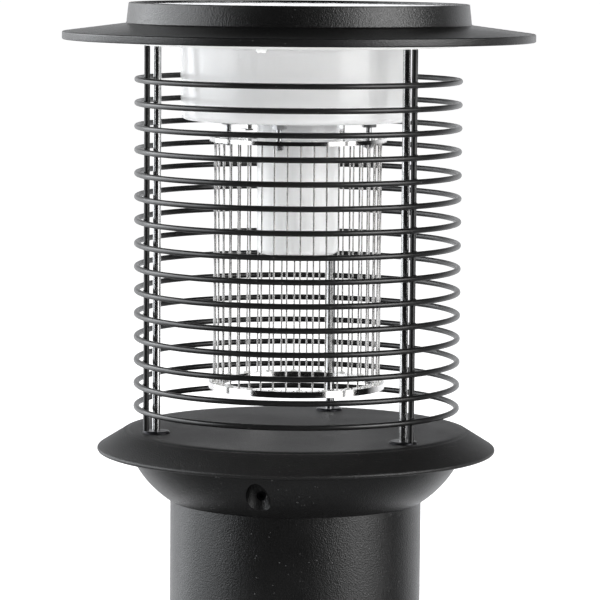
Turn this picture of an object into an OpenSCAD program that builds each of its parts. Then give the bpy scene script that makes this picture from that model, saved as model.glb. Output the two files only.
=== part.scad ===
// Solar bollard lantern with an electric bug zapper under its cap.
// Origin: centre of the ground flange's underside. +Z is up, the front is towards -Y.

/* [Post] */
// Outer diameter of the post
post_d = 134; // [115:1:180]
// Wall of the post
post_wall = 2.5; // [2:0.5:4]
// Height of the collar's lower edge above the ground
post_exposed = 137; // [100:1:700]

/* [Ground flange] */
// How far the flange stands out past the post
flange_lip = 21; // [19:1:40]
// Thickness of the flange plate
flange_t = 6; // [4:0.5:10]
// Height of the spigot that the post slips over
spigot_h = 24; // [18:1:40]
// Wall of the spigot
spigot_wall = 6; // [5:0.5:10]
// Distance of an anchor hole's centre from the post's wall
anchor_inset = 11; // [10:0.5:12]
// Diameter of an anchor hole
anchor_hole_d = 9; // [6:0.5:10]
// Number of anchor holes
anchor_count = 4; // [3:1:8]

/* [Collar] */
// Height of the bowl's curved side
bowl_h = 23; // [22.4:0.2:30]
// How far the bowl's top is set in from the edge of the dish's flat top
bowl_set_in = 2.4; // [2:0.1:5]
// Radius of the bowl's bulging profile
bowl_bulge_r = 55.2; // [34:0.2:90]
// Wall of the collar
collar_wall = 3; // [2.5:0.5:4]
// Thickness of the collar's lower lip
collar_lip = 0.8; // [0.6:0.1:2]
// Slip clearance between collar and post, on the radius
collar_gap = 0.3; // [0.1:0.05:0.6]
// How far the post reaches up into the collar
seat_h = 22; // [18:0.5:23]
// Height of a set screw above the collar's lower edge
set_screw_h = 12; // [10:0.1:14]
// Diameter of the upright pocket in front of a set screw
recess_d = 12.8; // [10:0.1:13.4]
// Metal that a set screw is threaded through, outside the collar's neck
recess_back = 3.5; // [2.5:0.1:4.5]
// Direction of the front pocket, from +X
recess_angle = -103.7; // [-180:0.1:180]

/* [Dish] */
// How far the dish's flat top reaches past the guard rings
dish_margin = 3.6; // [2:0.1:12]
// How far the bevel stands out past the flat top
dish_bevel_w = 15.6; // [12:0.2:20]
// Height from the dish's lower edge to its flat top
dish_h = 11.5; // [9.5:0.1:13]
// Wall of the dish
dish_wall = 3; // [2:0.2:3.4]
// Radius of the dish's outer edge
dish_edge_r = 1.2; // [0.8:0.1:2]

/* [Guard] */
// Clear height from the dish to the underside plate
cage_h = 204.1; // [165:0.1:280]
// Number of guard rings
ring_count = 15; // [8:1:15]
// How far the middle of a guard ring's wire stands out past the post
guard_out = 18.3; // [16:0.1:40]
// Wire diameter of a guard ring
ring_wire_d = 3; // [2:0.1:4]
// Height of the lowest ring's middle above the dish
ring_first = 12.1; // [8:0.1:20]
// Distance from the highest ring's middle to the plate
ring_last = 18.4; // [8:0.1:30]
// Diameter of an upright guard rod
guard_rod_d = 3.1; // [2.5:0.1:4]
// How far a ring is sunk into the rods by its weld
weld_sink = 0.1; // [0.05:0.05:0.3]
// Direction of the right-hand rod, from +X
rod_angle = -43.7; // [-60:0.1:-30]

/* [Tie rods] */
// Diameter of a chrome tie rod
tie_rod_d = 4.2; // [3:0.1:5]
// Gap between a tie rod and its guard rod
tie_rod_gap = 1.9; // [1:0.1:3]
// Diameter of the disc at a tie rod's foot
foot_disc_d = 14.4; // [10:0.1:15]
// Thickness of the foot disc
foot_disc_t = 1.3; // [1:0.1:2]

/* [Cap] */
// How far the brim stands out past the drum
brim_w = 35; // [20:0.5:60]
// How far the drum's top rim stands out past the underside plate
drum_out = 5.2; // [5.2:0.1:12]
// Draft of the drum's side, on the radius
drum_draft = 1.2; // [0:0.1:3]
// Height of the drum above the brim
drum_h = 11; // [9:0.1:20]
// Fall of the brim from the drum to its edge
brim_drop = 4.4; // [3.6:0.1:8]
// Thickness of the brim's edge
brim_edge_t = 4; // [2.5:0.1:5]
// How far the plate hangs below the brim's edge
plate_reveal = 2.7; // [1:0.1:5]
// Wall of the cap
cap_wall = 3; // [2:0.1:3.5]
// Depth of the solar glass below the rim
glass_recess = 0.8; // [0.3:0.1:2]
// Thickness of the solar glass
glass_t = 3.2; // [2:0.1:4]

/* [Underside plate] */
// Wall of the white plate outside the guard rods' sockets
plate_edge = 0.8; // [0.6:0.1:5]
// Thickness of the white plate
plate_t = 2.5; // [2:0.1:3]

/* [Diffuser] */
// Gap between the diffuser's top and the guard rods, where the button sits
guard_gap = 17.8; // [16.2:0.1:25]
// Draft of the diffuser's side, on the radius
diffuser_draft = 1; // [0:0.1:3]
// Height of the diffuser
diffuser_h = 39.4; // [30:0.1:50]
// Wall of the diffuser
diffuser_wall = 2; // [1.5:0.1:3]
// Radius of the diffuser's lower corner
diffuser_corner = 3; // [2.5:0.1:6]

/* [UV lamp] */
// Diameter of the lamp tube
tube_d = 43.6; // [36:0.2:50]
// Wall of the lamp tube
tube_wall = 1.5; // [1:0.1:2.5]
// Length of the lamp tube
tube_len = 70.9; // [56:0.1:100]

/* [Grid] */
// Gap between the lamp tube and the middle of the grid wires
grid_gap = 22.2; // [19:0.1:27]
// Diameter of a grid wire
grid_wire_d = 1; // [0.8:0.1:1.4]
// Number of grid wires, half of them live
grid_wire_count = 40; // [24:2:48]
// Distance from the diffuser to the grid's top flange
grid_drop = 9.2; // [9:0.1:16]
// Distance from the grid's bottom ring to the dish
grid_clear = 22.2; // [16:0.1:40]
// Thickness of the top flange
top_flange_t = 2.2; // [1.2:0.1:3]
// Height of the bottom ring
bottom_ring_t = 3.3; // [2:0.1:5]
// Width of both grid rings outside the wires
grid_ring_out = 2.8; // [2:0.1:5]
// Width of both grid rings inside the wires
grid_ring_in = 3.6; // [3:0.1:6]
// Direction of the front grid screw, from +X
grid_screw_angle = -105; // [-180:1:180]

/* [Power button] */
// Diameter of the button
button_d = 9; // [8:0.1:11]
// How far the button travels
button_travel = 1.5; // [1:0.1:1.8]
// Running clearance of the button, on the radius
button_gap = 0.1; // [0.05:0.01:0.1]
// Direction of the button, from +X
button_angle = 46; // [38:1:54]

/* [Hidden] */
$fn = 96;
hair = 0.1;      // how far a cutting shape runs past the face it cuts
past = 1;        // how far a cross hole runs past the wall it drills
third = 120;     // angle between pieces that repeat three times
arc_steps = 16;  // straight steps in a drawn arc
corner_steps = 4; // the same for a small inner corner

// Heights, from the ground up
z_collar = post_exposed;
z_seat = z_collar + seat_h;
z_bowl_top = z_collar + bowl_h;
dish_seam = 2.7; // height of the bowl's upright rim below the dish's lower edge
z_dish_low = z_bowl_top + dish_seam;
z_dish = z_dish_low + dish_h;
z_plate = z_dish + cage_h;
z_brim_low = z_plate + plate_reveal;
z_brim = z_brim_low + brim_edge_t;
z_drum_foot = z_brim + brim_drop;
z_top = z_drum_foot + drum_h;

// Post and ground flange
post_r = post_d / 2;
post_in_r = post_r - post_wall;
spigot_gap = 0.2;
spigot_r = post_in_r - spigot_gap;
spigot_in_r = spigot_r - spigot_wall;
flange_r = post_r + flange_lip;
anchor_r = post_r + anchor_inset;
flange_edge = 1.5; // chamfer round the flange's top edge
screw_z = flange_t + spigot_h / 2;
flange_screw_r = 2;      // M4
flange_screw_head_r = 3.8;
flange_key_r = 1.44;
flange_screw_head_t = 2.2;
flange_screw_angle = 15;

// Guard and tie rods
ring_r = post_r + guard_out;
wire_r = ring_wire_d / 2;
ring_pitch = (cage_h - ring_first - ring_last) / (ring_count - 1);
guard_rod_r = guard_rod_d / 2;
guard_rod_at = ring_r - wire_r - guard_rod_r + weld_sink;
rod_socket = 1.2;  // depth of the sockets for the guard rods
socket_gap = 0.05; // clearance of a rod in its socket or hole, on the radius
tie_r = tie_rod_d / 2;
tie_at = guard_rod_at - guard_rod_r - tie_r - tie_rod_gap;
tie_thread = 9;    // how far a tie rod screws into the collar's boss
tie_boss_wall = 2.9;
tie_boss_r = tie_r + tie_boss_wall;

// Collar
bore_r = post_r + collar_gap;
bowl_low_r = bore_r + collar_lip;
bowl_top_r = ring_r + wire_r + dish_margin - bowl_set_in;
neck_r = bore_r + collar_wall;
ledge_w = 7;       // how far the ledge reaches in over the post's end
ledge_t = 3;
collar_top = z_dish - dish_wall;
bowl_centre = arc_centre([bowl_low_r, z_collar], [bowl_top_r, z_bowl_top], bowl_bulge_r);
recess_wall = 2;
recess_r = recess_d / 2;
recess_back_r = neck_r + recess_back;
recess_at = recess_back_r + recess_r;
z_recess_top = z_bowl_top - recess_wall;
set_screw_z = z_collar + set_screw_h;
set_screw_r = 2.5; // M5, a grub screw with a socket
set_screw_key_r = 1.44;
set_screw_key_t = 2.5;
set_screw_inset = 0.4; // its outer end lies this far inside the pocket's back wall
set_screw_tip_gap = 0.1;

// Dish
dish_top_r = ring_r + wire_r + dish_margin;
dish_r = dish_top_r + dish_bevel_w;
dish_lip = 4;      // width of the flat under the dish's edge
dish_inner_low = 1; // the slope inside ends this far above the dish's lower edge

// Cap
plate_r = guard_rod_at + guard_rod_r + socket_gap + plate_edge;
drum_r = plate_r + drum_out;
brim_r = drum_r + brim_w;
rim_round = 0.4;   // chamfer at the drum's top rim
brim_round = 0.5;  // chamfers at the brim's edge
rim_w = 2.2;       // width of the rim round the panel
pocket_r = drum_r - rim_w;
shelf_w = 15.8;    // how far the shelf under the panel reaches in
shelf_t = 2.5;
shelf_in_r = pocket_r - shelf_w;
z_glass = z_top - glass_recess;
cells_t = 0.6;
cells_edge = 5;    // margin of bare backing round the cells
cell_gap = 1.6;
cell_count = 8;
backing_t = 0.8;
gasket_t = 1;
gasket_w = 6;
glass_gap = 0.2;   // clearance of the panel in its pocket, on the radius
glass_r = pocket_r - glass_gap;
z_shelf = z_glass - glass_t - cells_t - backing_t - gasket_t;
skirt_gap = 0.2;   // clearance between the plate and the cap's locating ring
skirt_w = 2.5;
z_plate_top = z_plate + plate_t;
boss_r = 4;
boss_margin = 1;
boss_at = plate_r - boss_r - boss_margin;
boss_turn = 60;    // a plate screw lies midway between two rods

// Plate screws and diffuser screws
small_screw_r = 1.45;   // self-tapping; its hole in a boss has the same radius
small_head_r = 2.8;
small_head_t = 1.8;
small_screw_len = 9;
small_head_edge = 0.5;
small_slot_w = 0.6;
small_slot_t = 0.9;

// Diffuser
diffuser_r = guard_rod_at - guard_rod_r - guard_gap;
diffuser_low_r = diffuser_r - diffuser_draft;
z_diffuser = z_plate - diffuser_h;
lug_r = 3.6;
lug_h = 14;
lug_floor_t = 2;
lug_sink = 0.6;    // how far a lug is fused into the diffuser's wall, at its top
lug_at = diffuser_r - diffuser_wall - lug_r + lug_sink;
lug_shy = 0.2;     // how far a lug's top stays below the diffuser's edge
lug_turn = 20;

// UV lamp
tube_r = tube_d / 2;
tube_in_r = tube_r - tube_wall;
z_tube_low = z_diffuser - tube_len;
spigot_fit = 0.1;  // clearance of the holder's spigot in the tube, on the radius
holder_r = tube_in_r - spigot_fit;
holder_spigot_h = 10;
holder_floor_t = 2; // floor and wall of the holder
holder_in_r = holder_r - holder_floor_t;
holder_flange_w = 8;
holder_flange_r = holder_r + holder_flange_w;
holder_flange_t = 2.5;
uv_board_w = 14;
uv_board_t = 1.6;
uv_board_gap = 6;   // from the UV board's lower end to the tube's
uv_board_len = tube_len - uv_board_gap;
uv_led = 3.5;
uv_led_t = 1.2;
uv_led_rows = 5;
uv_led_margin = 4;  // distance of the first LED from the board's lower end
z_uv_top = z_diffuser - holder_spigot_h + holder_floor_t; // upper end of the UV board

// Grid
grid_r = tube_r + grid_gap;
grid_wire_r = grid_wire_d / 2;
flange_rim = 0.2;         // the top flange is this much wider than the bottom ring
flange_out_r = grid_r + grid_ring_out + flange_rim;
grid_out_r = grid_r + grid_ring_out;
grid_in_r = grid_r - grid_ring_in;
flange_tube_gap = 7;      // open ring between the lamp tube and the flange
flange_in_r = tube_r + flange_tube_gap;
z_flange_top = z_diffuser - grid_drop;
z_flange = z_flange_top - top_flange_t;
z_ring_low = z_dish + grid_clear;
z_ring_top = z_ring_low + bottom_ring_t;
wire_step = 360 / grid_wire_count;
return_angle = 137;       // direction of the return terminal and of the first return wire
live_terminal_angle = 49.4;
bead_r = 1.3;
bead_lip_r = 1.7;
bead_lip_t = 0.6;
wire_gap = 0.03;          // clearance of a wire in its bead, on the radius
grid_screw_inset = 5.5;
grid_screw_at = grid_r - grid_screw_inset;
grid_screw_count = 4;
grid_screw_r = 1.5;       // M3
grid_screw_head_r = 2.75;
grid_screw_head_t = 2;
grid_screw_end = 0.6;     // how far a screw stands out past its lower nut
grid_key_r = 1.2;
grid_nut_r = 3.18;        // across the corners, M3
grid_nut_t = 2.4;
clamp_nut_r = 4.04;       // the wider nut under the diffuser's floor
clamp_nut_t = 3.2;
terminal_w = 6;
terminal_t = 0.8;
terminal_foot = 5.5;
terminal_inset = 8;
terminal_at = grid_r - terminal_inset;
terminal_lift = 2;        // the return terminal stays this far above the live flange

// Light board
board_t = 1.6;
light_board_margin = 12; // clear of the screw lugs
light_board_gap = 1.5;
light_board_r = diffuser_r - light_board_margin;
light_board_in_r = holder_flange_r + light_board_gap;
light_led_count = 12;
light_led = 3.5;
light_led_t = 0.9;
light_led_turn = 5; // turns the LEDs clear of the leads

// Power button
button_r = button_d / 2;
button_at = diffuser_r + guard_gap / 2;
bezel_gap = 0.8;        // clearance from the bezel to the diffuser and to the guard rods' circle
bezel_r = guard_gap / 2 - bezel_gap;
bezel_t = 1.4;
button_rest = 0.7;      // how far the button still stands proud when it is pressed
button_proud = button_travel + button_rest;
button_edge = 0.5;
button_flange_w = 1.1;
button_flange_t = 1.2;
button_hub = 1;
housing_wall = 1.2;
housing_r = button_r + button_flange_w + button_gap + housing_wall;
spring_room = 5.5;      // length of the spring when the button is pressed
button_stack = button_flange_t + button_hub + spring_room + button_travel;
housing_h = button_stack + housing_wall;
spring_inset = 1;
spring_r = button_r - spring_inset;
spring_wire_r = 0.3;
spring_turns = 4;
spring_steps = 16;
spring_sides = 6;

// Electronics on the plate
board_gap = 1.5;   // standoff of the control board
board_clear = 1;   // clearance from the board to the button's housing and to the screw heads behind it
board_depth = 30;
board_half_w = button_at * cos(button_angle) - housing_r - board_clear;
lug_angle = rod_angle + lug_turn + third; // direction of the diffuser screw behind the board
board_back = lug_at * sin(lug_angle) - small_head_r - board_clear;
board_size = [2 * board_half_w, board_depth];
board_at = [0, board_back - board_depth / 2];
board_foot_d = 5;
transformer_x = -14;
capacitor_x = 8;
panel_lead_x = 30;
lead_pitch = 4;    // distance between the two battery leads
lead_lap = 4;      // how far a lead runs in over the board
battery_size = [64, 44, 8.4];
battery_at = [0, -24];
tray_t = 0.8;
tray_lip = 5;
tray_notch_w = 8;  // gap in the tray's lip for the battery leads
transformer_size = [16, 13, 8];
capacitor_r = 4;
capacitor_len = 14;
lead_r = 0.8;

rod_turns = [0, third, 2 * third];

function ring_name(i) = str("guard_ring_", i);
function rod_name(i) = str("guard_rod_", i);

// Centre of the arc of radius r from p to q, on the side nearer the axis
function arc_centre(p, q, r) =
    let (m = (p + q) / 2, d = q - p, half = norm(d) / 2, h = sqrt(r * r - half * half))
    m + h * [-d[1], d[0]] / norm(d);

// Points of an arc round c from angle a to angle b
function arc(c, r, a, b, steps) =
    [for (i = [0:steps]) c + r * [cos(a + (b - a) * i / steps), sin(a + (b - a) * i / steps)]];

function angle_of(v) = atan2(v[1], v[0]);

bowl_a0 = angle_of([bowl_low_r, z_collar] - bowl_centre);
bowl_a1 = angle_of([bowl_top_r, z_bowl_top] - bowl_centre);

// ---- helpers ----

module at_polar(r, a, z) {
    rotate([0, 0, a]) translate([r, 0, z]) children();
}

module three_times(a) {
    for (t = rod_turns) rotate([0, 0, a + t]) children();
}

module ring(r_out, r_in, z, h) {
    translate([0, 0, z]) difference() {
        cylinder(r = r_out, h = h);
        translate([0, 0, -hair]) cylinder(r = r_in, h = h + 2 * hair);
    }
}

module rod(r, z0, z1) {
    translate([0, 0, z0]) cylinder(r = r, h = z1 - z0);
}

// Cylinder lying along +X, from x0 to x1
module radial_rod(r, x0, x1) {
    translate([x0, 0, 0]) rotate([0, 90, 0]) cylinder(r = r, h = x1 - x0);
}

module hex_rod(r, h) {
    cylinder(r = r, h = h, $fn = 6);
}

// ---- post ----

module ground_flange() {
    color("#2b2b2c") difference() {
        union() {
            cylinder(r = flange_r, h = flange_t - flange_edge);
            translate([0, 0, flange_t - flange_edge])
                cylinder(r1 = flange_r, r2 = flange_r - flange_edge, h = flange_edge);
            cylinder(r = spigot_r, h = flange_t + spigot_h);
        }
        rod(spigot_in_r, -hair, flange_t + spigot_h + hair);
        for (i = [0:anchor_count - 1])
            at_polar(anchor_r, (i + 0.5) * 360 / anchor_count, -hair)
                cylinder(d = anchor_hole_d, h = flange_t + 2 * hair);
        three_times(flange_screw_angle) translate([0, 0, screw_z])
            radial_rod(flange_screw_r, spigot_in_r - hair, spigot_r + hair);
    }
}

module post_tube() {
    color("#1d1d1e") difference() {
        rod(post_r, flange_t, z_seat);
        rod(post_in_r, flange_t - hair, z_seat + hair);
        three_times(flange_screw_angle) translate([0, 0, screw_z])
            radial_rod(flange_screw_r + spigot_gap, post_in_r - past, post_r + past);
    }
}

module flange_screws() {
    color("#555557") three_times(flange_screw_angle) translate([0, 0, screw_z]) difference() {
        union() {
            radial_rod(flange_screw_r, spigot_in_r, post_r);
            radial_rod(flange_screw_head_r, post_r, post_r + flange_screw_head_t);
        }
        translate([post_r + flange_screw_head_t / 2, 0, 0]) rotate([0, 90, 0])
            hex_rod(flange_key_r, flange_screw_head_t);
    }
}

// ---- collar and dish ----

module head_collar() {
    color("#232324") difference() {
        union() {
            difference() {
                bowl_solid();
                bowl_pocket();
            }
            intersection() {
                union() {
                    three_times(recess_angle) {
                        at_polar(recess_at, 0, 0)
                            rod(recess_r + recess_wall, z_collar, z_recess_top + recess_wall);
                        translate([0, 0, set_screw_z])
                            radial_rod(set_screw_r + recess_wall, neck_r - past, recess_at);
                    }
                    three_times(rod_angle) at_polar(tie_at, 0, 0)
                        rod(tie_boss_r, z_collar, collar_top);
                }
                bowl_solid();
            }
        }
        rod(bore_r, z_collar - hair, z_seat);
        rod(bore_r - ledge_w, z_seat - hair, collar_top + hair);
        three_times(recess_angle) {
            at_polar(recess_at, 0, 0) rod(recess_r, z_collar - hair, z_recess_top);
            translate([0, 0, set_screw_z]) radial_rod(set_screw_r, bore_r - past, recess_at);
        }
        three_times(rod_angle) at_polar(tie_at, 0, collar_top - tie_thread)
            cylinder(r = tie_r, h = tie_thread + hair);
    }
}

module bowl_solid() {
    rotate_extrude() polygon(concat(
        [[bore_r - ledge_w, z_collar]],
        arc(bowl_centre, bowl_bulge_r, bowl_a0, bowl_a1, arc_steps),
        [[bowl_top_r, collar_top], [bore_r - ledge_w, collar_top]]));
}

// Open pocket between the bowl's wall and the neck, floored where the two walls meet
module bowl_pocket() {
    inner_r = bowl_bulge_r - collar_wall;
    reach = neck_r - bowl_centre[0];
    a_neck = -acos(min(1, max(-1, reach / inner_r)));
    rotate_extrude() polygon(concat(
        arc(bowl_centre, inner_r, a_neck, bowl_a1, arc_steps),
        [[bowl_top_r - collar_wall, collar_top + hair], [neck_r, collar_top + hair]]));
    // above the ledge the pocket reaches in to the neck's bore
    ring(neck_r + hair, bore_r - ledge_w - hair, z_seat + ledge_t, collar_top - z_seat);
}

module collar_screws() {
    end = recess_back_r - set_screw_inset;
    color("#303032") three_times(recess_angle) translate([0, 0, set_screw_z]) difference() {
        radial_rod(set_screw_r, post_r + set_screw_tip_gap, end);
        translate([end - set_screw_key_t, 0, 0]) rotate([0, 90, 0])
            hex_rod(set_screw_key_r, set_screw_key_t + hair);
    }
}

module base_dish() {
    edge_c = [dish_r - dish_edge_r, z_dish_low + dish_edge_r];
    slope = atan2(dish_h - 2 * dish_edge_r, dish_bevel_w);
    in_top_r = dish_top_r - dish_wall * tan(slope / 2);
    in_run = (dish_h - dish_wall - dish_inner_low) / tan(slope);
    lip_r = min(dish_r - dish_lip - dish_edge_r / 2, in_top_r + in_run);
    color("#242424") difference() {
        rotate_extrude() polygon(concat(
            [[0, z_dish], [dish_top_r, z_dish]],
            arc(edge_c, dish_edge_r, 90 - slope, -90, arc_steps / 2),
            [[lip_r, z_dish_low], [lip_r, z_dish - dish_wall - (lip_r - in_top_r) * tan(slope)],
             [in_top_r, z_dish - dish_wall], [0, z_dish - dish_wall]]));
        three_times(rod_angle) {
            at_polar(tie_at, 0, z_dish - dish_wall - hair)
                cylinder(r = tie_r + socket_gap, h = dish_wall + 2 * hair);
            at_polar(guard_rod_at, 0, z_dish - rod_socket)
                cylinder(r = guard_rod_r + socket_gap, h = rod_socket + hair);
        }
    }
}

// ---- tie rods and guard ----

module tie_rods() {
    color("#d8d8da") three_times(rod_angle)
        at_polar(tie_at, 0, 0) rod(tie_r, collar_top - tie_thread, z_shelf - shelf_t);
}

module rod_foot_discs() {
    color("#1b1b1c") three_times(rod_angle) at_polar(tie_at, 0, z_dish) difference() {
        union() {
            cylinder(d = foot_disc_d, h = foot_disc_t / 2);
            translate([0, 0, foot_disc_t / 2])
                cylinder(d1 = foot_disc_d, d2 = foot_disc_d - foot_disc_t, h = foot_disc_t / 2);
        }
        translate([0, 0, -hair]) cylinder(r = tie_r, h = foot_disc_t + 2 * hair);
        translate([guard_rod_at - tie_at, 0, -hair])
            cylinder(r = guard_rod_r + socket_gap, h = foot_disc_t + 2 * hair);
    }
}

module guard_rod(i) {
    color("#1c1c1c") rotate([0, 0, rod_angle + rod_turns[i - 1]])
        at_polar(guard_rod_at, 0, 0) rod(guard_rod_r, z_dish - rod_socket, z_plate + rod_socket);
}

module guard_ring(i) {
    color("#1c1c1c") translate([0, 0, z_dish + ring_first + (i - 1) * ring_pitch])
        rotate_extrude() translate([ring_r, 0]) circle(r = wire_r, $fn = 24);
}

// ---- cap ----

module cap_shell() {
    skirt_in_r = plate_r + skirt_gap;
    color("#2e2d2c") difference() {
        union() {
            difference() {
                rotate_extrude() polygon([
                    [0, z_top], [drum_r - rim_round, z_top], [drum_r, z_top - rim_round],
                    [drum_r + drum_draft, z_drum_foot], [brim_r - brim_round, z_brim],
                    [brim_r, z_brim - brim_round], [brim_r, z_brim_low + brim_round],
                    [brim_r - brim_round, z_brim_low], [brim_r - brim_edge_t, z_brim_low],
                    [drum_r, z_drum_foot - cap_wall], [drum_r - cap_wall, z_brim_low],
                    [0, z_brim_low]]);
                rod(pocket_r, z_shelf, z_top + hair);
                rod(shelf_in_r, z_brim_low - hair, z_shelf + hair);
                ring(pocket_r - hair, shelf_in_r - hair, z_brim_low - hair,
                     z_shelf - shelf_t - z_brim_low + hair);
            }
            ring(skirt_in_r + skirt_w, skirt_in_r, z_brim_low, z_shelf - z_brim_low);
            three_times(rod_angle + boss_turn)
                at_polar(boss_at, 0, 0) rod(boss_r, z_plate_top, z_shelf - shelf_t + hair);
        }
        three_times(rod_angle + boss_turn)
            at_polar(boss_at, 0, 0) rod(small_screw_r, z_plate_top - hair, z_shelf - shelf_t);
    }
}

module underside_plate() {
    color("#f2f2f0") difference() {
        rod(plate_r, z_plate, z_plate_top);
        three_times(rod_angle) {
            at_polar(tie_at, 0, 0) rod(tie_r + socket_gap, z_plate - hair, z_plate_top + hair);
            at_polar(guard_rod_at, 0, 0)
                rod(guard_rod_r + socket_gap, z_plate - hair, z_plate + rod_socket);
        }
        three_times(rod_angle + boss_turn) at_polar(boss_at, 0, 0)
            rod(small_screw_r + socket_gap, z_plate - hair, z_plate_top + hair);
        three_times(rod_angle + lug_turn) at_polar(lug_at, 0, 0)
            rod(small_screw_r + socket_gap, z_plate - hair, z_plate_top + hair);
        rod(holder_in_r, z_plate - hair, z_plate_top + hair);
        for (a = [live_terminal_angle, return_angle])
            at_polar(terminal_at, a, 0) rod(lead_r * 2, z_plate - hair, z_plate_top + hair);
        at_polar(button_at, button_angle, 0)
            rod(housing_r + socket_gap, z_plate - hair, z_plate_top + hair);
    }
}

module small_screw(up) {
    mirror([0, 0, up ? 0 : 1]) {
        difference() {
            translate([0, 0, -small_head_t])
                cylinder(r1 = small_head_r - small_head_edge, r2 = small_head_r, h = small_head_t);
            for (a = [0, 90]) rotate([0, 0, a])
                block_at([0, 0], [small_head_r, small_slot_w, small_slot_t + hair], -small_head_t - hair);
        }
        cylinder(r = small_screw_r, h = small_screw_len);
    }
}

module plate_screws() {
    color("#bdbdbd") three_times(rod_angle + boss_turn)
        at_polar(boss_at, 0, z_plate) small_screw(true);
}

module solar_glass() {
    color("#dfe6ea", 0.5) rod(glass_r, z_glass - glass_t, z_glass);
}

// Wedge cells side by side round the axis, with an even gap between neighbours
module solar_cells() {
    z = z_glass - glass_t - cells_t;
    half = 180 / cell_count;
    reach = glass_r / cos(half);
    color("#1b2033") intersection() {
        rod(glass_r - cells_edge, z, z + cells_t);
        for (i = [0:cell_count - 1]) at_polar(cell_gap / 2 / sin(half), 2 * half * i, z)
            linear_extrude(cells_t)
                polygon([[0, 0], [reach, -reach * tan(half)], [reach, reach * tan(half)]]);
    }
}

module solar_backing() {
    z = z_shelf + gasket_t;
    color("#f4f4f4") rod(glass_r, z, z + backing_t);
}

module panel_gasket() {
    color("#101010") ring(glass_r, glass_r - gasket_w, z_shelf, gasket_t);
}

// ---- electronics on the plate ----

module block_at(p, size, z) {
    translate([p[0] - size[0] / 2, p[1] - size[1] / 2, z]) cube(size);
}

module battery_tray() {
    lip = [battery_size[0] + 2 * tray_t, battery_size[1] + 2 * tray_t, tray_t + tray_lip];
    room = [battery_size[0], battery_size[1], tray_lip + hair];
    color("#e8e8e8") difference() {
        block_at(battery_at, lip, z_plate_top);
        block_at(battery_at, room, z_plate_top + tray_t);
        block_at([battery_at[0], battery_at[1] + battery_size[1] / 2],
                 [tray_notch_w, 4 * tray_t, tray_lip + hair], z_plate_top + tray_t);
        rod(holder_in_r, z_plate_top - hair, z_plate_top + tray_t + hair);
    }
}

module battery_pack() {
    color("#2f6fb0") block_at(battery_at, battery_size, z_plate_top + tray_t);
}

module control_board() {
    color("#1f5b3a") union() {
        translate([0, 0, z_plate_top + board_gap])
            block_at(board_at, [board_size[0], board_size[1], board_t], 0);
        for (sx = [-1, 1])
            translate([board_at[0] + sx * (board_half_w - board_foot_d), board_at[1], z_plate_top])
                cylinder(d = board_foot_d, h = board_gap + hair);
    }
}

module hv_transformer() {
    color("#caa23a") block_at([board_at[0] + transformer_x, board_at[1]], transformer_size,
        z_plate_top + board_gap + board_t);
}

module hv_capacitor() {
    z = z_plate_top + board_gap + board_t + capacitor_r;
    color("#8b3a2e") translate([board_at[0] + capacitor_x, board_at[1], z])
        radial_rod(capacitor_r, 0, capacitor_len);
}

// Two high-voltage leads down to the terminals, two battery leads, one lamp lead and one panel lead
module internal_leads() {
    z_board = z_plate_top + board_gap;
    z_lead = z_board + board_t + lead_r;
    battery_edge = battery_at[1] + battery_size[1] / 2;
    board_edge = board_at[1] - board_size[1] / 2;
    color("#b02020") {
        for (a = [live_terminal_angle, return_angle])
            at_polar(terminal_at, a, 0) rod(lead_r, z_diffuser + diffuser_wall + terminal_t, z_board);
        for (x = [-lead_pitch / 2, lead_pitch / 2]) translate([x, battery_edge, z_lead])
            rotate([-90, 0, 0]) cylinder(r = lead_r, h = board_edge - battery_edge + lead_lap);
        translate([0, 0, z_lead]) rotate([-90, 0, 0]) cylinder(r = lead_r, h = board_edge + lead_lap);
        translate([0, 0, z_lead]) sphere(r = lead_r);
        rod(lead_r, z_uv_top, z_lead);
        translate([board_at[0] + panel_lead_x, board_at[1], 0])
            rod(lead_r, z_board + board_t, z_shelf + gasket_t);
    }
}

// ---- lantern light ----

module light_board() {
    color("#f5f5f2") difference() {
        ring(light_board_r, light_board_in_r, z_plate - board_t, board_t);
        for (a = [live_terminal_angle, return_angle])
            at_polar(terminal_at, a, 0) rod(lead_r * 2, z_plate - 2 * board_t, z_plate + hair);
    }
}

module light_leds() {
    color("#f3e27a") for (i = [0:light_led_count - 1])
        at_polar((light_board_r + light_board_in_r) / 2, i * 360 / light_led_count + light_led_turn,
                 z_plate - board_t - light_led_t)
            translate([-light_led / 2, -light_led / 2, 0]) cube([light_led, light_led, light_led_t]);
}

module diffuser() {
    c = [diffuser_low_r - diffuser_corner, z_diffuser + diffuser_corner];
    in_r = diffuser_corner - diffuser_wall;
    color("#f7f8f8", 0.85) difference() {
        union() {
            difference() {
                rotate_extrude() polygon(concat(
                    [[0, z_diffuser]], arc(c, diffuser_corner, -90, 0, arc_steps / 2),
                    [[diffuser_r, z_plate], [0, z_plate]]));
                rotate_extrude() polygon(concat(
                    [[0, z_diffuser + diffuser_wall]], arc(c, in_r, -90, 0, corner_steps),
                    [[diffuser_r - diffuser_wall, z_plate + hair], [0, z_plate + hair]]));
            }
            three_times(rod_angle + lug_turn)
                at_polar(lug_at, 0, 0) rod(lug_r, z_plate - lug_h, z_plate - lug_shy);
        }
        rod(holder_r + spigot_fit, z_diffuser - hair, z_diffuser + diffuser_wall + hair);
        three_times(rod_angle + lug_turn)
            at_polar(lug_at, 0, 0) rod(small_screw_r, z_plate - lug_h + lug_floor_t, z_plate + hair);
        grid_screw_places()
            rod(grid_screw_r + socket_gap, z_diffuser - hair, z_diffuser + diffuser_wall + hair);
    }
}

module diffuser_screws() {
    color("#bdbdbd") three_times(rod_angle + lug_turn)
        at_polar(lug_at, 0, z_plate_top) small_screw(false);
}

// ---- UV lamp ----

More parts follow.
